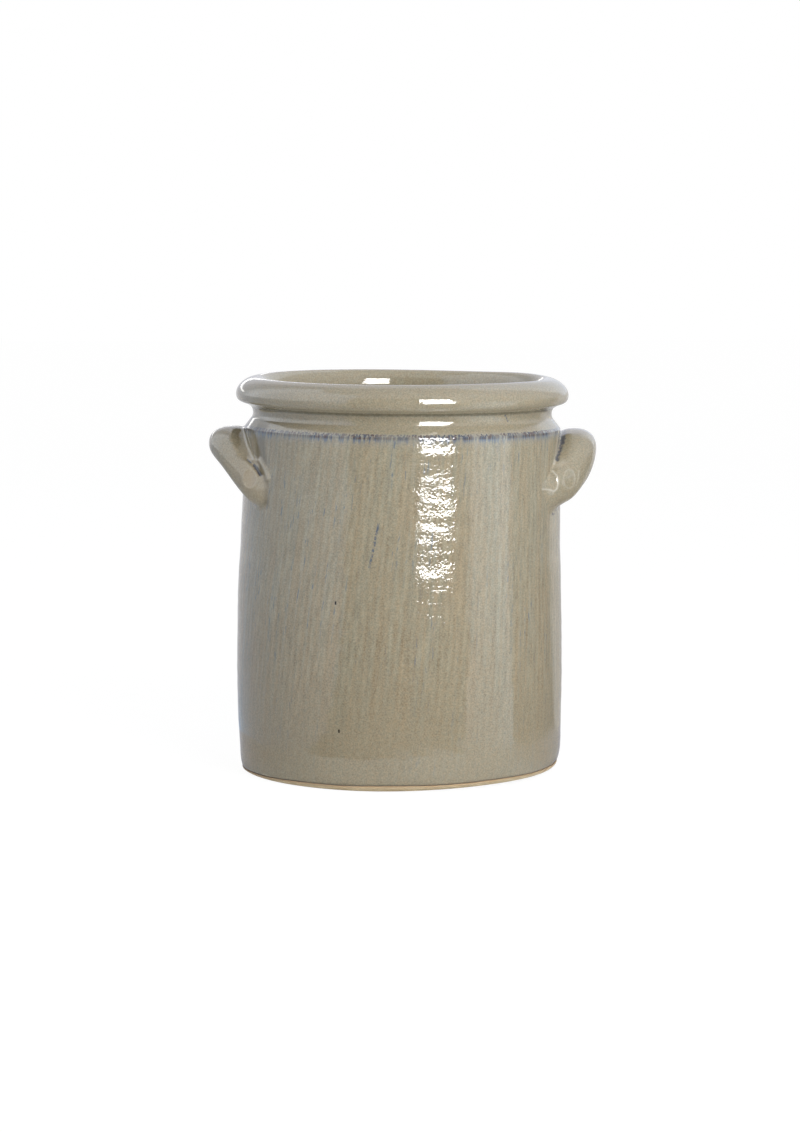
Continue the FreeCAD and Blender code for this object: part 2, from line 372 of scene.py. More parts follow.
def make_rolled_rim(material):
    """A bead with a blunt outer end and long slopes above and below it."""
    start_radius, underside = NECK_TOP
    wide_radius, wide_z = RIM_WIDEST
    crest_radius, crest_z = RIM_CREST
    lip = (THROAT_RADIUS, RIM_LIP_Z)
    flare = (start_radius + RIM_FLARE[0], underside + RIM_FLARE[1])
    below = bezier(NECK_TOP, flare, (wide_radius, wide_z - RIM_FULL_BELOW), RIM_WIDEST, 20)
    crest_run = (crest_radius + RIM_CREST_RUN, crest_z)
    above = bezier(RIM_WIDEST, (wide_radius, wide_z + RIM_FULL_ABOVE), crest_run, RIM_CREST, 26)
    stretches = [
        (below, "out"),
        (above, "out"),
        (rounded(RIM_CREST, (THROAT_RADIUS, crest_z), lip, 18), "in"),
        (straight(lip, (THROAT_RADIUS, underside), 8), "in"),
        (straight((THROAT_RADIUS, underside), NECK_TOP, 4), ""),
    ]
    make_piece("rolled_rim_glazed", "rolled_rim", turned_mesh(stretches), material)


def make_seam_coil(material):
    corner = (float(wall_radius(FLOOR_Z)) - WALL_THICKNESS, FLOOR_Z)
    wall_end = (float(wall_radius(FLOOR_Z + COIL_HEIGHT)) - WALL_THICKNESS, FLOOR_Z + COIL_HEIGHT)
    floor_end = (corner[0] - COIL_WIDTH, FLOOR_Z)
    stretches = [
        (rounded(wall_end, corner, floor_end, 16), "in"),
        (straight(floor_end, corner, 6), ""),
        (straight(corner, wall_end, 6), ""),
    ]
    make_piece("seam_coil_glazed", "seam_coil", turned_mesh(stretches), material)


def make_floor_slab(material):
    """The floor inside, with a finger spiral that runs out from its middle."""
    top_radii = np.linspace(0, SLAB_RADIUS, 60)[1:, None]
    phi = np.linspace(0, 2 * math.pi, COLUMNS // 4, endpoint=False)[None, :]
    spiral = FLOOR_SPIRAL_RELIEF * np.sin(2 * math.pi * top_radii / FLOOR_SPIRAL_PITCH - phi)
    fade = smoothstep(0, 12, top_radii) * smoothstep(SLAB_RADIUS - 10, SLAB_RADIUS - 18, top_radii)
    bottom_radii = top_radii[::-8]
    radius = np.concatenate([top_radii, bottom_radii]) * np.ones_like(phi)
    z = np.concatenate([FLOOR_Z + spiral * fade, np.full((len(bottom_radii), phi.shape[1]), FOOT_BAND)])
    angle = np.broadcast_to(phi, z.shape)
    middles = np.array([[0, 0, FLOOR_Z], [0, 0, FOOT_BAND]])
    places = in_place(np.concatenate([uneven(radius, angle, z, 0.0).reshape(-1, 3), middles]))
    clay = np.concatenate([even_place(radius, angle, z).reshape(-1, 3), middles * MM])
    index = np.arange(z.size).reshape(z.shape)
    beside = np.roll(index, -1, 1)
    faces = np.stack([index[:-1], index[1:], beside[1:], beside[:-1]], -1).reshape(-1, 4).tolist()
    for i in range(z.shape[1]):
        faces.append((z.size, index[0, i], beside[0, i]))
        faces.append((z.size + 1, beside[-1, i], index[-1, i]))
    mesh_parts = (places, faces, {"clay": clay, "flow": clay})
    make_piece("floor_slab_glazed", "floor_slab", mesh_parts, material)


# Handles, drawn on the unrolled wall: s along it towards the front, z up, h out of it

HANDLE_ROOT = 7.0           # depth of a handle's body behind the wall's face
SKIRT = 0.7                 # thickness of its hidden edge inside the wall
GRID_LOW = (-68, 146, -3.0)
GRID_HIGH = (68, 220, 27)
GRID_STEP = 0.5             # fineness of its mesh
PATCH_MIDDLE_Z = 184.0      # the hidden edge ends in a rounded patch around this height
PATCH_HALF_SIZE = (66.0, 37.0)
MARK_DEPTH = 2.5            # marks of the fingers reach this far from the bare face
FILLET_HEIGHTS = (166, 180, 192, 210)
SECTION_STEPS = 561         # fine steps for smoothing the sections
SECTION_BLUR = 20           # steps to each side that are smoothed together
RELIEF_FADE = 6.0           # the wall's relief fades out over this height on a handle
PATTERN_FADE = 0.8          # and the wall's glaze pattern over this


@dataclass
class Handle:
    """An ear handle: sections along the wall, and the marks of the fingers in the front view.

    Middles, half heights and reaches belong to the section places, fillets to FILLET_HEIGHTS.
    Marks are (height, width, points): a ridge, or a groove where the height is below zero. Pools,
    thin glaze and highlight lines, warm spots and shades are (strength, width, points): glaze that
    gathers; glaze that runs thin and pale, together with a painted highlight along ridges and creases;
    clay that shows; and a painted olive shade in hollows. Points are millimetres across and up from
    the camera's aim.
    """

    angle: float
    turn: int
    middles: tuple
    half_heights: tuple
    reaches: tuple
    squareness: float
    overhang: float
    fillets: tuple
    marks: list
    pools: list
    thin_glaze_and_highlight_lines: list
    warm_spots: list
    shades: list

    section_places = (0, 8, 17, 28, 38, 46, 53, 70)

    def along(self, values, s):
        """Values at the section places, smoothed over the stretches between them."""
        end = self.section_places[-1]
        fine = np.linspace(-end, end, SECTION_STEPS)
        rough = np.interp(np.abs(fine), self.section_places, values)
        window = np.hanning(2 * SECTION_BLUR + 1)
        soft = np.convolve(np.pad(rough, SECTION_BLUR, mode="edge"), window / window.sum(), mode="valid")
        return np.interp(s, fine, soft)

    def on_pot(self, s, z, h):
        """Even radius and angle of places on the unrolled wall."""
        return wall_radius(np.minimum(z, SHOULDER_Z)) + h, self.angle + self.turn * s / SHOULDER_RADIUS

    def ear(self, s, z, h):
        """Distance to the bare ear: rounded sections, thicker above where it overhangs."""
        middle = self.along(self.middles, s)
        half_height = self.along(self.half_heights, s)
        reach = self.along(self.reaches, s)
        half_depth = (reach + HANDLE_ROOT) / 2
        u = np.abs(z - middle) / half_height
        v = np.abs(h - self.overhang * (z - middle) - (reach - half_depth)) / half_depth
        p = self.squareness
        size = (u**p + v**p) ** (1 / p) + 1e-6
        slope = np.sqrt((u / half_height) ** 2 + (v / half_depth) ** 2) + 1e-6
        return (size - 1) * np.sqrt(u * u + v * v) / slope

    def field(self, s, z, h):
        """Below zero inside the handle, its fillet and the thin edge that hides in the wall."""
        ear = self.ear(s, z, h)
        wall = h - base_offset(z) + SEAM_SINK
        fillet = np.interp(z, FILLET_HEIGHTS, self.fillets)
        blend = np.clip(fillet - np.abs(ear - wall), 0, None) / fillet
        joined = np.minimum(ear, wall) - blend * blend * fillet / 4
        near = (np.abs(joined) < MARK_DEPTH) & (s > 0)
        across, up = front_view(self.on_pot(s[near], z[near], h[near]), z[near])
        for height, width, points in self.marks:
            joined[near] -= height * bell(line_distance(across, up, points), width)
        half_length, half_height = PATCH_HALF_SIZE
        bound = ((s / half_length) ** 4 + ((z - PATCH_MIDDLE_Z) / half_height) ** 4) ** 0.25 - 1
        return np.maximum(np.maximum(joined, -(wall + SKIRT)), bound * 30)

    def pooled(self, s, z, h):
        """Share of dark blue glaze that has run together; on the far side it lies in the corner."""
        corner = self.ear(s, z, h) - (h - base_offset(z))
        behind = 0.5 * bell(corner, 1.6) * smoothstep(-1.0, 0.3, h) * (s < 0)
        return np.clip(behind + self.touched(self.pools, s, z, h), 0, 1)

    def touched(self, lines, s, z, h):
        """How strongly lines of (strength, width, points) touch places on the near side."""
        across, up = front_view(self.on_pot(s, z, h), z)
        total = np.zeros_like(s)
        for strength, width, points in lines:
            total = np.maximum(total, strength * bell(line_distance(across, up, points), width))
        return total * (s > 0)


def base_offset(z):
    """The neck draws in above the shoulder edge, so the face to sit on moves in there."""
    draw_in = SHOULDER_RADIUS - NECK_CONE_TOP[0]
    full_draw_in = SHOULDER_RADIUS - NECK_RADIUS
    return np.interp(z, (SHOULDER_Z, NECK_CONE_TOP[1], GROOVE_Z - 4), (0, -draw_in, -full_draw_in))


def front_view(radius_and_angle, z):
    """Millimetres across and up from the aim, as the camera sees places on the pot."""
    spots = uneven(*radius_and_angle, z, 0.0)
    ahead = -direction(CAMERA_AZIMUTH)
    across = np.array([ahead[1], -ahead[0], 0.0])
    drop = math.atan2(CAMERA_HEIGHT - AIM_HEIGHT, CAMERA_DISTANCE)
    sight = ahead * math.cos(drop) - np.array([0, 0, math.sin(drop)])
    upright = ahead * math.sin(drop) + np.array([0, 0, math.cos(drop)])
    reach = math.hypot(CAMERA_DISTANCE, CAMERA_HEIGHT - AIM_HEIGHT)
    offset = spots - np.array([0, 0, AIM_HEIGHT])
    scale = reach / (reach + offset @ sight)
    return (offset @ across) * scale, (offset @ upright) * scale


def line_distance(across, up, points):
    """Distance in the front view to a line of points, or to one point."""
    ends = list(zip(points[:-1], points[1:])) or [(points[0], points[0])]
    nearest = np.full(across.shape, np.inf)
    for (x0, y0), (x1, y1) in ends:
        length = max((x1 - x0) ** 2 + (y1 - y0) ** 2, 1e-9)
        share = np.clip(((across - x0) * (x1 - x0) + (up - y0) * (y1 - y0)) / length, 0, 1)
        gap = np.hypot(across - x0 - share * (x1 - x0), up - y0 - share * (y1 - y0))
        nearest = np.minimum(nearest, gap)
    return nearest


def loop_points(middle_across, middle_up, half_across, half_up):
    """Points of an oval in the front view."""
    angles = np.linspace(0, 2 * math.pi, 25)
    return [(middle_across + half_across * math.cos(a), middle_up + half_up * math.sin(a)) for a in angles]


def surface_of(field, low, high, step):
    """Quad mesh of the zero surface of a field on a regular grid, pulled on to the surface."""
    axes = [np.arange(a, b, step) for a, b in zip(low, high)]
    values = field(*np.meshgrid(*axes, indexing="ij"))
    inside = values < 0
    cells = np.array(values.shape) - 1
    total = np.zeros((*cells, 3))
    hits = np.zeros(cells)
    quads = []
    crossings = []
    for axis in range(3):
        first = np.delete(values, -1, axis)
        second = np.delete(values, 0, axis)
        crossed = (first < 0) != (second < 0)
        share = np.where(crossed, first / np.where(crossed, first - second, 1), 0)
        crossings.append(crossed)
        b, c = (axis + 1) % 3, (axis + 2) % 3
        for shift_b, shift_c in ((0, 0), (0, 1), (1, 0), (1, 1)):
            window = [slice(None)] * 3
            window[b] = slice(shift_b, shift_b + cells[b])
            window[c] = slice(shift_c, shift_c + cells[c])
            hit = crossed[tuple(window)]
            total[..., axis] += share[tuple(window)]
            total[..., b] += shift_b * hit
            total[..., c] += shift_c * hit
            hits += hit
    used = hits > 0
    number = np.full(cells, -1)
    number[used] = np.arange(used.sum())
    points = (np.argwhere(used) + total[used] / hits[used][:, None]) * step + np.array(low)
    for axis, crossed in enumerate(crossings):
        b, c = (axis + 1) % 3, (axis + 2) % 3
        spots = np.argwhere(crossed)
        kept = (spots[:, b] > 0) & (spots[:, c] > 0) & (spots[:, b] < cells[b]) & (spots[:, c] < cells[c])
        spots = spots[kept]
        loop = []
        for back_b, back_c in ((0, 0), (1, 0), (1, 1), (0, 1)):
            cell = spots.copy()
            cell[:, b] -= back_b
            cell[:, c] -= back_c
            loop.append(number[tuple(cell.T)])
        loop = np.stack(loop, -1)
        outward = inside[tuple(spots.T)]
        loop[~outward] = loop[~outward, ::-1]
        quads.append(loop)
    return pulled_to_zero(field, points), np.concatenate(quads)


def pulled_to_zero(field, points):
    """Newton steps along the field's slope, so that the mesh has no stair steps."""
    probe = 0.05
    least_slope = 0.05
    longest_step = 0.4
    for _ in range(3):
        value = field(*points.T)
        slope = np.empty_like(points)
        for axis in range(3):
            moved = points.copy()
            moved[:, axis] += probe
            slope[:, axis] = (field(*moved.T) - value) / probe
        length = np.maximum((slope**2).sum(1), least_slope)
        points = points - np.clip(value / length, -longest_step, longest_step)[:, None] * slope
    return points


def make_handle(name, node, handle, material):
    points, quads = surface_of(handle.field, GRID_LOW, GRID_HIGH, GRID_STEP)
    s, z, h = points.T
    radius, phi = handle.on_pot(s, z, h)
    relief = outside_relief(phi, np.minimum(z, SHOULDER_Z)) * np.exp(-np.clip(h, 0, None) / RELIEF_FADE)
    places = in_place(uneven(radius, phi, z, relief))
    if handle.turn < 0:
        quads = quads[:, ::-1]
    layers = {
        "clay": even_place(radius, phi, z),
        "flow": flow_place(radius, phi, z),
        "outside": bell(np.clip(h, 0, None), PATTERN_FADE),
        "pool": handle.pooled(s, z, h),
        "thin_glaze_and_highlight": handle.touched(handle.thin_glaze_and_highlight_lines, s, z, h),
        "warm": handle.touched(handle.warm_spots, s, z, h),
        # painted olive shade
        "shade": handle.touched(handle.shades, s, z, h),
    }
    make_piece(name, node, (places, quads.tolist(), layers), material)


LEFT_CREASE = [(-95.5, 86.2), (-93.2, 77.0), (-89.6, 67.8)]
LEFT_HOLLOW = [(-98.8, 81.5), (-96.8, 76.0), (-94.0, 70.5)]
LEFT_FLAP = [(-89.2, 67.8), (-86.1, 66.7), (-83.3, 61.6), (-81.3, 55.7)]
LEFT_FOLD = [(-93.5, 67.8), (-91.2, 65.5), (-89.2, 63.9), (-85.5, 58.4)]
LEFT_THUMB = loop_points(-92.0, 55.7, 4.3, 5.9)
LEFT_HANDLE = Handle(
    angle=math.pi,
    turn=1,
    middles=(200.6, 199.4, 195.2, 185.8, 178.6, 175.2, 174.0, 174.0),
    half_heights=(9.8, 10.3, 11.8, 13.5, 12.6, 9.2, 4.0, 4.0),
    reaches=(21.8, 21.3, 17.2, 10.2, 6.4, 3.5, -2.0, -6.0),
    squareness=2.3,
    overhang=-0.05,
    fillets=(4.2, 2.9, 2.3, 2.0),
    marks=[
        (0.6, 0.8, LEFT_CREASE),
        (0.5, 1.6, [(-103.0, 84.0), (-103.9, 80.0), (-100.1, 70.6)]),
        (-2.2, 4.2, LEFT_HOLLOW),
        (0.9, 1.6, LEFT_FLAP),
        (-1.3, 1.0, LEFT_FOLD),
        (0.25, 0.7, LEFT_THUMB),
        (-0.7, 3.6, [(-92.0, 57.5), (-92.0, 54.0)]),
    ],
    pools=[
        (0.9, 0.7, LEFT_FOLD[:2]),
        (1.0, 1.3, LEFT_FOLD[2:]),
        (0.45, 0.9, [(-98.2, 84.5), (-96.6, 78.0)]),
        (0.5, 0.8, [(-89.2, 43.2)]),
    ],
    # thin pale glaze, and painted highlights along the crease, flap and thumb mark
    thin_glaze_and_highlight_lines=[
        (0.9, 0.7, LEFT_CREASE),
        (0.3, 0.9, LEFT_FLAP),
        (0.15, 0.6, LEFT_THUMB),
    ],
    warm_spots=[
        (0.4, 5.0, [(-92.5, 59.0), (-92.0, 52.0)]),
        (0.18, 11.0, [(-95.0, 64.0), (-90.5, 46.0)]),
    ],
    # painted shade in the hollow of the handle
    shades=[(0.4, 4.6, LEFT_HOLLOW)],
)
RIGHT_CREASE = [(97.7, 85.1), (95.0, 64.7)]
RIGHT_FOLD = [(100.9, 84.5), (99.7, 78.4), (97.7, 71.3), (96.7, 67.5)]
RIGHT_HOOK = [
    (94.2, 60.4),
    (96.9, 57.3),
    (97.7, 53.7),
    (96.9, 49.8),
    (95.0, 48.1),
    (91.8, 49.0),
    (88.0, 49.2),
]
RIGHT_THUMB = loop_points(104.4, 55.7, 3.5, 5.9)
RIGHT_NAIL = [(110.3, 60.8), (110.0, 56.0), (108.7, 51.4)]
RIGHT_HANDLE = Handle(
    angle=0.0,
    turn=-1,
    middles=(194.8, 193.8, 190.2, 183.0, 177.2, 175.0, 174.0, 174.0),
    half_heights=(14.9, 15.3, 17.4, 17.0, 12.2, 8.5, 4.0, 4.0),
    reaches=(22.1, 21.7, 20.2, 15.5, 8.6, 4.0, -2.0, -6.0),
    squareness=2.35,
    overhang=0.16,
    fillets=(7.0, 4.5, 2.6, 2.0),
    marks=[
        (0.35, 0.8, RIGHT_CREASE),
        (-0.35, 1.3, RIGHT_FOLD[1:]),
        (0.3, 0.7, RIGHT_HOOK),
        (-0.7, 3.2, [(92.6, 57.0), (92.6, 53.0)]),
        (0.25, 0.7, RIGHT_THUMB),
        (0.25, 0.6, RIGHT_NAIL),
        (0.3, 0.7, [(99.7, 65.9)]),
        (0.3, 0.7, [(102.8, 66.7)]),
    ],
    pools=[
        (0.9, 2.1, RIGHT_FOLD[:2]),
        (0.85, 1.7, RIGHT_FOLD[1:]),
        (0.9, 1.2, [(94.2, 34.1)]),
    ],
    # thin pale glaze, and painted highlights along the crease, hook, thumb and nail marks
    thin_glaze_and_highlight_lines=[
        (0.5, 0.8, RIGHT_CREASE),
        (0.7, 0.6, RIGHT_HOOK),
        (0.28, 0.5, RIGHT_THUMB),
        (0.22, 0.5, RIGHT_NAIL),
        (0.4, 2.0, [(97.5, 64.0), (100.0, 66.0)]),
    ],
    warm_spots=[],
    shades=[],
)


# Materials

STREAKS = 141               # combed streaks around the pot

# Single marks on the unrolled wall, in millimetres to the right of the front and up. Runs and the
# painted shade are (start, end, width).
BLUE_RUNS = [
    ((-18.4, 159.0), (-22.8, 134.0), 2.0),
    ((64.8, 221.6), (67.4, 218.4), 1.6),
]
# painted olive shade where the left handle shades the wall and is mirrored in its gloss
PAINTED_SHADE_BESIDE_LEFT_HANDLE = ((-110.0, 207.0), (-105.0, 172.0), 19.0)
IRON_SPECKS = [(-42.8, 112.8), (-40.6, 36.8)]
SPECK_LENGTH = 1.0
SPECK_WIDTH = 1.4


def srgb(red, green, blue):
    """Linear colour of 8-bit screen values."""
    share = np.array([red, green, blue]) / 255
    linear = np.where(share <= 0.04045, share / 12.92, ((share + 0.055) / 1.055) ** 2.4)
    return (*linear.tolist(), 1.0)


# Colours of the glaze
WARM_BEIGE = srgb(155, 143, 120)
GREY_BEIGE = srgb(150, 146, 128)
# painted shade: olive in the left handle's hollow and on the wall beside it
PAINTED_SHADE_OLIVE = srgb(108, 97, 70)
# pale of glaze that runs thin on ridges, also used as a painted highlight along creases and ridges
THIN_GLAZE_AND_HIGHLIGHT_PALE = srgb(205, 200, 188)
CLAY_WARM = srgb(172, 146, 100)
POOL_BLUE = srgb(74, 77, 88)
# olive of glaze gathered in the groove under the rim, and painted shade under the rim's overhang
GROOVE_POOL_AND_SHADE_OLIVE = srgb(82, 82, 70)
EDGE_BLUE = srgb(84, 87, 96)
DASH_TAIL = srgb(154, 156, 145)
DASH_BLUE = srgb(98, 111, 124)
RUN_BLUE = srgb(88, 98, 113)
IRON_BLACK = srgb(48, 44, 44)
SHOULDER_HAZE = srgb(140, 147, 152)
SHOULDER_BLUE = srgb(66, 75, 93)
SHOULDER_BROWN = srgb(80, 65, 67)
SHOULDER_RUNS = srgb(106, 118, 133)
LOW_TINT = (0.97, 0.935, 0.9, 1.0)     # the glaze is a little warmer near the foot
HIGH_TINT = (1.015, 1.01, 1.01, 1.0)

# Colours of the bare clay
CLAY_LIGHT = srgb(200, 183, 149)
CLAY_DARK = srgb(187, 168, 134)
CLAY_SAND = srgb(132, 109, 80)
CLAY_FLASH = srgb(164, 128, 94)

GLAZE_ROUGHNESS = 0.05
GLAZE_IOR = 1.52
CLAY_ROUGHNESS = 0.85
RIPPLE_HEIGHTS = (0.00002, 0.0001)     # metres of bump near the foot and further up
PEEL_HEIGHTS = (0.00002, 0.00011)
SAND_HEIGHT = 0.0002


class Graph:
    """Short calls for building a material's nodes."""

    def __init__(self, name):
        self.material = bpy.data.materials.new(name)
        self.material.use_nodes = True
        self.tree = self.material.node_tree
        self.shader = self.tree.nodes["Principled BSDF"]

    def node(self, kind, inputs=None, **settings):
        made = self.tree.nodes.new(kind)
        for key, value in settings.items():
            setattr(made, key, value)
        for key, value in (inputs or {}).items():
            self.put(value, made.inputs[key])
        return made

    def put(self, value, socket):
        if isinstance(value, bpy.types.NodeSocket):
            self.tree.links.new(value, socket)
        else:
            socket.default_value = value

    def attribute(self, name):
        return self.node("ShaderNodeAttribute", attribute_name=name).outputs["Vector"]

    def share(self, name):
        return self.node("ShaderNodeAttribute", attribute_name=name).outputs["Fac"]

    def parts(self, vector):
        return self.node("ShaderNodeSeparateXYZ", {"Vector": vector}).outputs

    def math(self, operation, a, b=0.0):
        return self.node("ShaderNodeMath", {0: a, 1: b}, operation=operation).outputs[0]

    def times(self, a, b):
        return self.math("MULTIPLY", a, b)

    def plus(self, a, b):
        return self.math("ADD", a, b)

    def minus(self, a, b):
        return self.math("SUBTRACT", a, b)

    def between(self, value, low, high, out_low=0.0, out_high=1.0):
        """Value mapped smoothly from low..high to out_low..out_high and held outside."""
        made = self.node(
            "ShaderNodeMapRange",
            {"Value": value, "From Min": low, "From Max": high, "To Min": out_low, "To Max": out_high},
            interpolation_type="SMOOTHSTEP",
        )
        return made.outputs["Result"]

    def noise(self, vector, scale, detail=2.0, roughness=0.5):
        made = self.node(
            "ShaderNodeTexNoise", {"Vector": vector, "Scale": scale, "Detail": detail, "Roughness": roughness}
        )
        return made.outputs["Fac"]

    def swing(self, vector, **settings):
        """Noise that swings around zero."""
        return self.minus(self.noise(vector, **settings), 0.5)

    def stretched(self, vector, along_z):
        return self.node("ShaderNodeMapping", {"Vector": vector, "Scale": (1, 1, along_z)}).outputs["Vector"]

    def mix(self, share, low, high):
        made = self.node("ShaderNodeMix", data_type="RGBA")
        self.put(share, made.inputs[0])
        self.put(low, made.inputs[6])
        self.put(high, made.inputs[7])
        return made.outputs[2]

    def scaled(self, colour, factor):
        made = self.node("ShaderNodeVectorMath", {"Vector": colour, "Scale": factor}, operation="SCALE")
        return made.outputs["Vector"]

    def tinted(self, colour, tint):
        made = self.node("ShaderNodeVectorMath", {0: colour, 1: tint}, operation="MULTIPLY")
        return made.outputs["Vector"]

    def bump(self, height, distance, normal=None):
        """Normal of a relief of that height, in metres."""
        inputs = {"Height": height, "Distance": distance, "Strength": 1.0}
        if normal is not None:
            inputs["Normal"] = normal
        return self.node("ShaderNodeBump", inputs).outputs["Normal"]


def glaze_material():
    """Glossy grey-beige glaze: fine streaks, blue where it breaks or gathers, orange peel."""
    g = Graph("stoneware_glaze")
    clay = g.attribute("clay")
    flow = g.attribute("flow")
    x, y, z = g.parts(clay)
    height = g.times(z, 1000.0)
    across = g.times(g.math("ARCTAN2", x, g.times(y, -1.0)), SHOULDER_RADIUS)
    outside = g.share("outside")
    on_wall = g.times(outside, g.between(height, SHOULDER_Z - 1.0, SHOULDER_Z + 2.0, 1.0, 0.15))
    streaky = g.times(on_wall, g.between(height, 20.0, 85.0, 0.3, 1.0))
    base = streaked_colour(g, clay, flow, streaky)
    base = g.tinted(base, g.mix(g.between(height, 25.0, 190.0), LOW_TINT, HIGH_TINT))
    base = blue_dashes(g, base, clay, flow, on_wall, height)
    base = single_marks(g, base, clay, across, height, outside)
    base = shoulder_break(g, base, clay, flow, height, outside)
    blotch = g.noise(clay, scale=420, detail=2, roughness=0.6)
    # Pale thin glaze on ridges, partly a painted highlight along creases and finger marks
    base = g.mix(g.times(g.share("thin_glaze_and_highlight"), 0.8), base, THIN_GLAZE_AND_HIGHLIGHT_PALE)
    base = g.mix(g.share("warm"), base, CLAY_WARM)
    # Painted shade: olive in the hollow of the left handle
    base = g.mix(g.times(g.share("shade"), 0.75), base, PAINTED_SHADE_OLIVE)
    mottle = g.minus(g.times(blotch, 2.2), 0.25)
    run_together = g.between(g.times(g.share("pool"), mottle), 0.25, 0.8)
    base = g.mix(g.times(run_together, 0.9), base, POOL_BLUE)
    # Glaze gathered in the groove under the rim, with painted shade from the rim's overhang
    groove_pool_and_shade = g.between(g.times(g.share("groove_pool_and_shade_band"), g.plus(blotch, 0.5)), 0.2, 1.1, 0.0, 0.7)
    base = g.mix(groove_pool_and_shade, base, GROOVE_POOL_AND_SHADE_OLIVE)
    edge = g.between(height, FOOT_BAND + 0.2, FOOT_BAND + 0.9, 0.5, 0.0)
    base = g.mix(g.times(edge, outside), base, EDGE_BLUE)
    # Painted light: the inner face is painted up to 1.2 times brighter, for light the inside lacks
    base = g.scaled(base, g.between(g.share("within"), 0.0, 1.0, 1.0, 1.2))
    g.put(base, g.shader.inputs["Base Color"])
    g.shader.inputs["Roughness"].default_value = GLAZE_ROUGHNESS
    g.shader.inputs["IOR"].default_value = GLAZE_IOR
    ripples = g.noise(g.stretched(clay, 1.15), scale=120, detail=3, roughness=0.55)
    peel = g.noise(clay, scale=560, detail=1)
    rough_share = g.between(on_wall, 0.0, 1.0, 0.3, 1.0)
    ripple_size = g.times(g.between(height, 40.0, 110.0, *RIPPLE_HEIGHTS), rough_share)
    peel_size = g.times(g.between(height, 40.0, 110.0, *PEEL_HEIGHTS), rough_share)
    normal = g.bump(peel, peel_size, g.bump(ripples, ripple_size))
    g.put(normal, g.shader.inputs["Normal"])
    return g.material


def streaked_colour(g, clay, flow, streaky):
    """Warm and grey beige in short and long streaks that run down the wall, with fine grain."""
    x, y, _ = g.parts(flow)
    wander = g.noise(g.stretched(flow, 0.2), scale=45, detail=2)
    comb = g.times(g.math("ARCTAN2", y, x), STREAKS)
    comb = g.math("SINE", g.plus(comb, g.times(wander, 7.0)))
    long_streak = g.swing(g.stretched(flow, 0.04), scale=250, detail=2)
    short_streak = g.swing(g.stretched(flow, 0.17), scale=430, detail=1)
    grain = g.swing(clay, scale=1150, detail=1)
    tint = g.swing(clay, scale=480, detail=2, roughness=0.6)
    running = g.plus(g.times(long_streak, 0.6), g.times(comb, 0.05))
    hue = g.plus(g.times(running, streaky), g.times(tint, 0.5))
    base = g.mix(g.between(hue, -0.2, 0.2), WARM_BEIGE, GREY_BEIGE)
    running = g.plus(g.times(short_streak, 0.5), g.times(comb, 0.03))
    level = g.plus(g.times(running, streaky), g.times(grain, 0.8))
    return g.scaled(base, g.plus(level, 1.0))


def blue_dashes(g, base, clay, flow, on_wall, height):
    """Thin blue dashes with pale tails, strung along some of the streaks."""
    dash = g.noise(g.stretched(flow, 0.16), scale=900, detail=1)
    string = g.noise(g.stretched(flow, 0.02), scale=330, detail=1)
    patch = g.noise(clay, scale=22, detail=1)
    there = g.times(g.between(string, 0.52, 0.60), g.between(patch, 0.42, 0.60, 0.15, 1.0))
    there = g.times(there, g.times(on_wall, g.between(height, 55.0, 105.0, 0.25, 1.0)))
    base = g.mix(g.times(there, 0.22), base, DASH_TAIL)
    seen = g.times(g.between(dash, 0.58, 0.68, 0.0, 0.8), there)
    return g.mix(seen, base, DASH_BLUE)


def single_marks(g, base, clay, across, height, outside):
    """A long blue run on the front, a small one on the neck, a painted olive shade beside the left
    handle where the handle shades the wall and shows in its gloss, and two iron specks.
    """
    beads = g.between(g.noise(clay, scale=800, detail=1), 0.40, 0.58, 0.15, 0.9)
    for start, end, width in BLUE_RUNS:
        near = line_share(g, across, height, start, end, width)
        share = g.times(g.times(near, beads), outside)
        base = g.mix(share, base, RUN_BLUE)
    # Painted shade: olive where the left handle shades the wall and is mirrored in it
    shade = g.times(line_share(g, across, height, *PAINTED_SHADE_BESIDE_LEFT_HANDLE), outside)
    base = g.mix(g.times(shade, 0.75), base, PAINTED_SHADE_OLIVE)
    for spot in IRON_SPECKS:
        near = line_share(g, across, height, spot, (spot[0], spot[1] - SPECK_LENGTH), SPECK_WIDTH)
        base = g.mix(g.times(near, outside), base, IRON_BLACK)
    return base


def line_share(g, across, height, start, end, width):
    """1 on a line between two places on the unrolled wall, falling to 0 at half the width from it."""
    length = math.dist(start, end)
    step = ((end[0] - start[0]) / length, (end[1] - start[1]) / length)
    right = g.minus(across, start[0])
    up = g.minus(height, start[1])
    along = g.plus(g.times(right, step[0]), g.times(up, step[1]))
    aside = g.minus(g.times(right, step[1]), g.times(up, step[0]))
    past = g.minus(g.math("ABSOLUTE", g.minus(along, length / 2)), length / 2)
    gap = g.math("MAXIMUM", g.math("ABSOLUTE", aside), past)
    return g.between(gap, 0.2 * width, 0.5 * width, 1.0, 0.0)


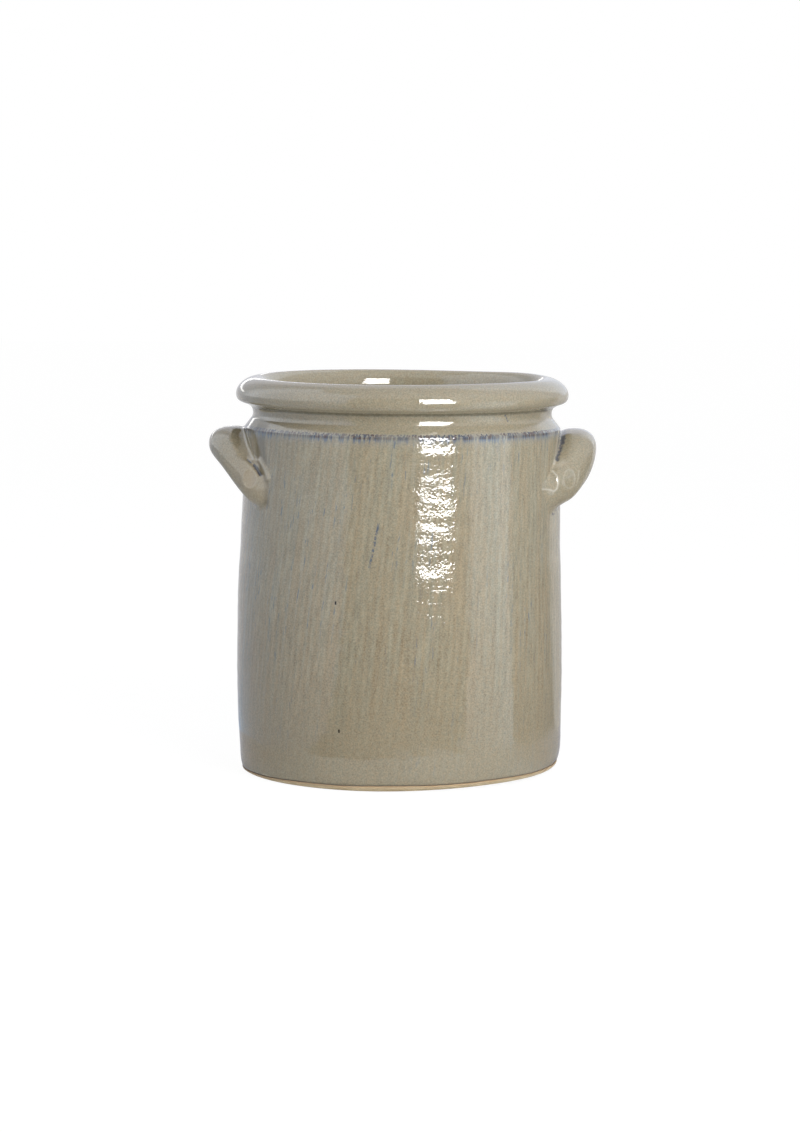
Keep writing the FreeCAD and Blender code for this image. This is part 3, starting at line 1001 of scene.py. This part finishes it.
def shoulder_break(g, base, clay, flow, height, outside):
    """Blue-black and red-brown break along the shoulder edge, in ticks with short runs below it."""
    below = g.minus(SHOULDER_Z, height)
    ticks = g.noise(g.stretched(flow, 0.03), scale=640, detail=2, roughness=0.6)
    patches = g.noise(clay, scale=420, detail=2, roughness=0.6)
    weak = g.between(g.noise(clay, scale=90, detail=1), 0.38, 0.55, 0.6, 1.0)
    weak = g.times(weak, g.between(ticks, 0.40, 0.54, 0.25, 1.0))
    haze = g.times(g.between(below, 0.0, 8.0, 0.3, 0.0), g.between(below, -2.4, -0.8))
    base = g.mix(g.times(haze, outside), base, SHOULDER_HAZE)
    length = g.between(ticks, 0.34, 0.68, 1.3, 5.2)
    rise = g.between(ticks, 0.30, 0.60, 0.7, 2.0)
    share = g.math("DIVIDE", below, length)
    lower_end = g.between(share, 0.4, 1.1, 1.0, 0.0)
    upper_end = g.between(g.plus(below, rise), 0.0, 0.5)
    band = g.times(lower_end, upper_end)
    colour = g.mix(g.between(patches, 0.46, 0.57), SHOULDER_BLUE, SHOULDER_BROWN)
    colour = g.mix(g.between(below, 0.6, 2.2), colour, SHOULDER_RUNS)
    band = g.times(g.times(band, weak), outside)
    return g.mix(g.times(band, 0.88), base, colour)


def clay_material():
    """Bare fired clay: matt, tan, with fine sand and a warm flash next to the glaze."""
    g = Graph("bare_clay")
    clay = g.attribute("clay")
    height = g.parts(clay)["Z"]
    sand = g.noise(clay, scale=1400, detail=2, roughness=0.6)
    cloud = g.noise(clay, scale=60, detail=2)
    colour = g.mix(g.between(cloud, 0.3, 0.7), CLAY_LIGHT, CLAY_DARK)
    colour = g.mix(g.between(sand, 0.55, 0.75, 0.0, 0.4), colour, CLAY_SAND)
    flash = g.between(height, 0.5 * FOOT_BAND * MM, FOOT_BAND * MM, 0.0, 0.6)
    colour = g.mix(flash, colour, CLAY_FLASH)
    g.put(colour, g.shader.inputs["Base Color"])
    g.shader.inputs["Roughness"].default_value = CLAY_ROUGHNESS
    g.put(g.bump(sand, SAND_HEIGHT), g.shader.inputs["Normal"])
    return g.material


# Studio

FOCAL_LENGTH = 112.33
SENSOR_WIDTH = 36.0
IMAGE_HEIGHT = 1132
SHIFT_RIGHT = 0.5           # pixels of the photograph's framing
SHIFT_UP = 3.5
AMBIENT = 0.5
KEY_AZIMUTH = 26
KEY_DISTANCE = 0.95
KEY_HEIGHT = 0.6
KEY_SIZE = 0.6
KEY_POWER = 6.9
KEY_TARGET = (0, 0, 0.12)

# Tints of the cards
COOL = (0.83, 1.0, 1.1)
CLEAR = (0.85, 1.1, 1.3)
BLUE = (0.72, 0.86, 1.08)
LILAC = (0.94, 0.96, 1.05)
SKY = (0.92, 0.98, 1.08)
WHITE = (1.0, 1.0, 1.0)

BACKDROP_GLOW = 0.85
SOFTBOX_GLOW = 30.0
STRIP_GLOW = 3.0
FLOOR_HALF = 6.0            # half the side of the floor, in metres
FLOOR_WHITE = 0.9           # share of plain white in the floor's look
FLOOR_GLOW = 1.05           # its strength, which makes up for the darker rest
CARD_LEVEL = 0.0015         # height of the lying cards over the floor
CARD_STEPS = 721            # points along a card

# What the gloss shows of the room around the table: azimuth, brightness, tint
SURROUNDINGS = [
    (-180, 0.68, WHITE),
    (-150, 0.72, LILAC),
    (-130, 0.78, BLUE),
    (-100, 0.85, BLUE),
    (-43, 0.8, BLUE),
    (-41, 0.03, WHITE),
    (43, 0.03, WHITE),
    (45, 1.1, CLEAR),
    (60, 1.15, CLEAR),
    (77, 1.5, CLEAR),
    (79, 0.2, WHITE),
    (126, 0.2, WHITE),
    (131, 0.8, WHITE),
    (150, 0.65, WHITE),
    (165, 0.55, WHITE),
    (180, 0.6, WHITE),
]

# The same for the table top
TABLE = [
    (-180, 0.55, LILAC),
    (-85, 0.5, LILAC),
    (-45, 0.8, COOL),
    (-10, 0.8, COOL),
    (15, 1.05, COOL),
    (50, 1.05, COOL),
    (75, 0.5, LILAC),
    (180, 0.55, LILAC),
]

# The same above the horizon, from the right to the back, and from the back to the left
BACKDROP_RIGHT = [
    (20, 0.75, LILAC),
    (125, 0.75, LILAC),
    (130, 1.3, SKY),
    (150, 1.05, SKY),
    (168, BACKDROP_GLOW, LILAC),
    (198, BACKDROP_GLOW, LILAC),
]
BACKDROP_LEFT = [
    (198, BACKDROP_GLOW, LILAC),
    (215, 0.95, SKY),
    (232, 2.2, SKY),
    (290, 2.2, SKY),
    (317, 1.6, BLUE),
]


def table_edge(azimuth):
    """Distance of the table's edge from the pot's axis, in metres."""
    return np.interp(azimuth, (-20, -12, 12, 60), (0.176, 0.178, 0.231, 0.205))


def aim(thing, target):
    gap = np.array(target) - np.array(thing.location)
    yaw = math.atan2(-gap[0], gap[1])
    pitch = math.atan2(gap[2], math.hypot(gap[0], gap[1]))
    thing.rotation_euler = (math.pi / 2 + pitch, 0, yaw)


def make_camera():
    data = bpy.data.cameras.new("camera")
    data.lens = FOCAL_LENGTH
    data.sensor_width = SENSOR_WIDTH
    data.shift_x = SHIFT_RIGHT / IMAGE_HEIGHT
    data.shift_y = SHIFT_UP / IMAGE_HEIGHT
    camera = bpy.data.objects.new("camera", data)
    camera.location = in_place(direction(CAMERA_AZIMUTH) * CAMERA_DISTANCE + np.array([0, 0, CAMERA_HEIGHT]))
    aim(camera, in_place(np.array([0, 0, AIM_HEIGHT])))
    bpy.context.scene.collection.objects.link(camera)
    bpy.context.scene.camera = camera


def make_key_lamp():
    data = bpy.data.lights.new("key", "AREA")
    data.size = KEY_SIZE
    data.energy = KEY_POWER
    lamp = bpy.data.objects.new("key", data)
    lamp.location = direction(KEY_AZIMUTH) * KEY_DISTANCE + np.array([0, 0, KEY_HEIGHT])
    aim(lamp, KEY_TARGET)
    lamp.visible_glossy = False
    bpy.context.scene.collection.objects.link(lamp)


def stage_mesh(name, vertices, faces, material):
    mesh = bpy.data.meshes.new(name)
    mesh.from_pydata(vertices, [], faces)
    mesh.materials.append(material)
    thing = bpy.data.objects.new(name, mesh)
    bpy.context.scene.collection.objects.link(thing)
    return thing


def make_card(name, stops, rows):
    """A card bent around the pot, seen only in the gloss.

    Stops are (azimuth, brightness, tint). Rows are (distance for an azimuth, height, share of the
    brightness, twist of the azimuths).
    """
    azimuths, strengths, tints = (np.array(column, float) for column in zip(*stops))
    steps = np.linspace(azimuths[0], azimuths[-1], CARD_STEPS)
    glow = np.stack([np.interp(steps, azimuths, strengths * tints[:, i]) for i in range(3)], -1)
    vertices = np.concatenate(
        [
            [direction(a + twist) * distance(a + twist) + (0, 0, height) for a in steps]
            for distance, height, _, twist in rows
        ]
    )
    count = len(steps)
    starts = [row * count + i for row in range(len(rows) - 1) for i in range(count - 1)]
    faces = [(i, i + 1, count + i + 1, count + i) for i in starts]
    g = Graph(name)
    light = g.node("ShaderNodeEmission", {"Color": g.attribute("glow")})
    g.tree.links.new(light.outputs[0], g.tree.nodes["Material Output"].inputs[0])
    g.tree.nodes.remove(g.shader)
    card = stage_mesh(name, vertices.tolist(), faces, g.material)
    layer = card.data.attributes.new("glow", "FLOAT_VECTOR", "POINT")
    glows = np.concatenate([glow * share for _, _, share, _ in rows])
    layer.data.foreach_set("vector", glows.astype(np.float32).ravel())
    only_in_gloss(card)


def always(distance):
    return lambda azimuth: distance


def only_in_gloss(card):
    card.visible_camera = False
    card.visible_diffuse = False
    card.visible_shadow = False
    card.visible_transmission = False


def seen_or_mirrored(tree):
    """1 for rays from the camera, and for what the gloss or clear glass shows."""
    path = tree.nodes.new("ShaderNodeLightPath")
    seen = path.outputs["Is Camera Ray"]
    for ray in ("Is Glossy Ray", "Is Transmission Ray"):
        either = tree.nodes.new("ShaderNodeMath")
        either.operation = "MAXIMUM"
        tree.links.new(seen, either.inputs[0])
        tree.links.new(path.outputs[ray], either.inputs[1])
        seen = either.outputs[0]
    return seen


def floor_material():
    """Pale floor that reads white to the camera and keeps a faint shadow."""
    g = Graph("pale_floor")
    g.shader.inputs["Base Color"].default_value = (0.9, 0.9, 0.9, 1)
    g.shader.inputs["Roughness"].default_value = 0.9
    glow = g.node("ShaderNodeEmission", {"Strength": FLOOR_GLOW})
    share = g.times(seen_or_mirrored(g.tree), FLOOR_WHITE)
    both = g.node("ShaderNodeMixShader", {0: share, 1: g.shader.outputs[0], 2: glow.outputs[0]})
    g.tree.links.new(both.outputs[0], g.tree.nodes["Material Output"].inputs[0])
    return g.material


def make_world():
    """Plain light from all around, and white behind the pot for the eye and the gloss."""
    world = bpy.data.worlds.new("studio")
    bpy.context.scene.world = world
    world.use_nodes = True
    tree = world.node_tree
    strength = tree.nodes.new("ShaderNodeMapRange")
    strength.inputs["To Min"].default_value = AMBIENT
    strength.inputs["To Max"].default_value = 1.0
    tree.links.new(seen_or_mirrored(tree), strength.inputs["Value"])
    background = tree.nodes["Background"]
    background.inputs["Color"].default_value = (1, 1, 1, 1)
    tree.links.new(strength.outputs["Result"], background.inputs["Strength"])


def make_studio():
    half = FLOOR_HALF
    corners = [(-half, -half, 0), (half, -half, 0), (half, half, 0), (-half, half, 0)]
    stage_mesh("floor", corners, [(0, 1, 2, 3)], floor_material())
    make_card(
        "table_top",
        TABLE,
        [
            (always(0.093), CARD_LEVEL, 0.6, 0),
            (always(0.11), CARD_LEVEL, 1.0, 0),
            (table_edge, CARD_LEVEL, 1.0, 0),
        ],
    )
    make_card(
        "surroundings",
        SURROUNDINGS,
        [
            (table_edge, CARD_LEVEL, 0.85, -12),
            (always(2.6), CARD_LEVEL, 1.25, 1),
            (always(2.6), 2.6, 1.25, 1),
        ],
    )
    make_card(
        "backdrop_right",
        BACKDROP_RIGHT,
        [
            (always(2.5), 0.3, 1.0, 14),
            (always(2.5), 1.7, 1.25, 0),
            (always(2.5), 4.5, 1.8, 0),
        ],
    )
    make_card("backdrop_left", BACKDROP_LEFT, [(always(2.45), 0.3, 1.0, 0), (always(2.45), 4.5, 1.0, 0)])
    strip = [(178, STRIP_GLOW, WHITE), (214, STRIP_GLOW, WHITE)]
    make_card("strip_lamp", strip, [(always(2.4), 0.56, 1.0, 0), (always(2.4), 0.68, 1.0, 0)])
    softbox = [(9.2, SOFTBOX_GLOW, WHITE), (31.8, SOFTBOX_GLOW, WHITE)]
    make_card("softbox", softbox, [(always(1.5), 0.14, 1.0, 0), (always(1.5), 1.2, 1.0, 0)])
    make_key_lamp()
    make_world()
    bpy.context.scene.view_settings.view_transform = "Standard"


def main():
    glaze = glaze_material()
    bare = clay_material()
    make_foot_ring(bare)
    make_floor_slab(glaze)
    make_seam_coil(glaze)
    make_body_wall(glaze)
    make_neck_collar(glaze)
    make_rolled_rim(glaze)
    make_handle("left_handle_glazed", "left_handle", LEFT_HANDLE, glaze)
    make_handle("right_handle_glazed", "right_handle", RIGHT_HANDLE, glaze)
    make_camera()
    make_studio()


main()
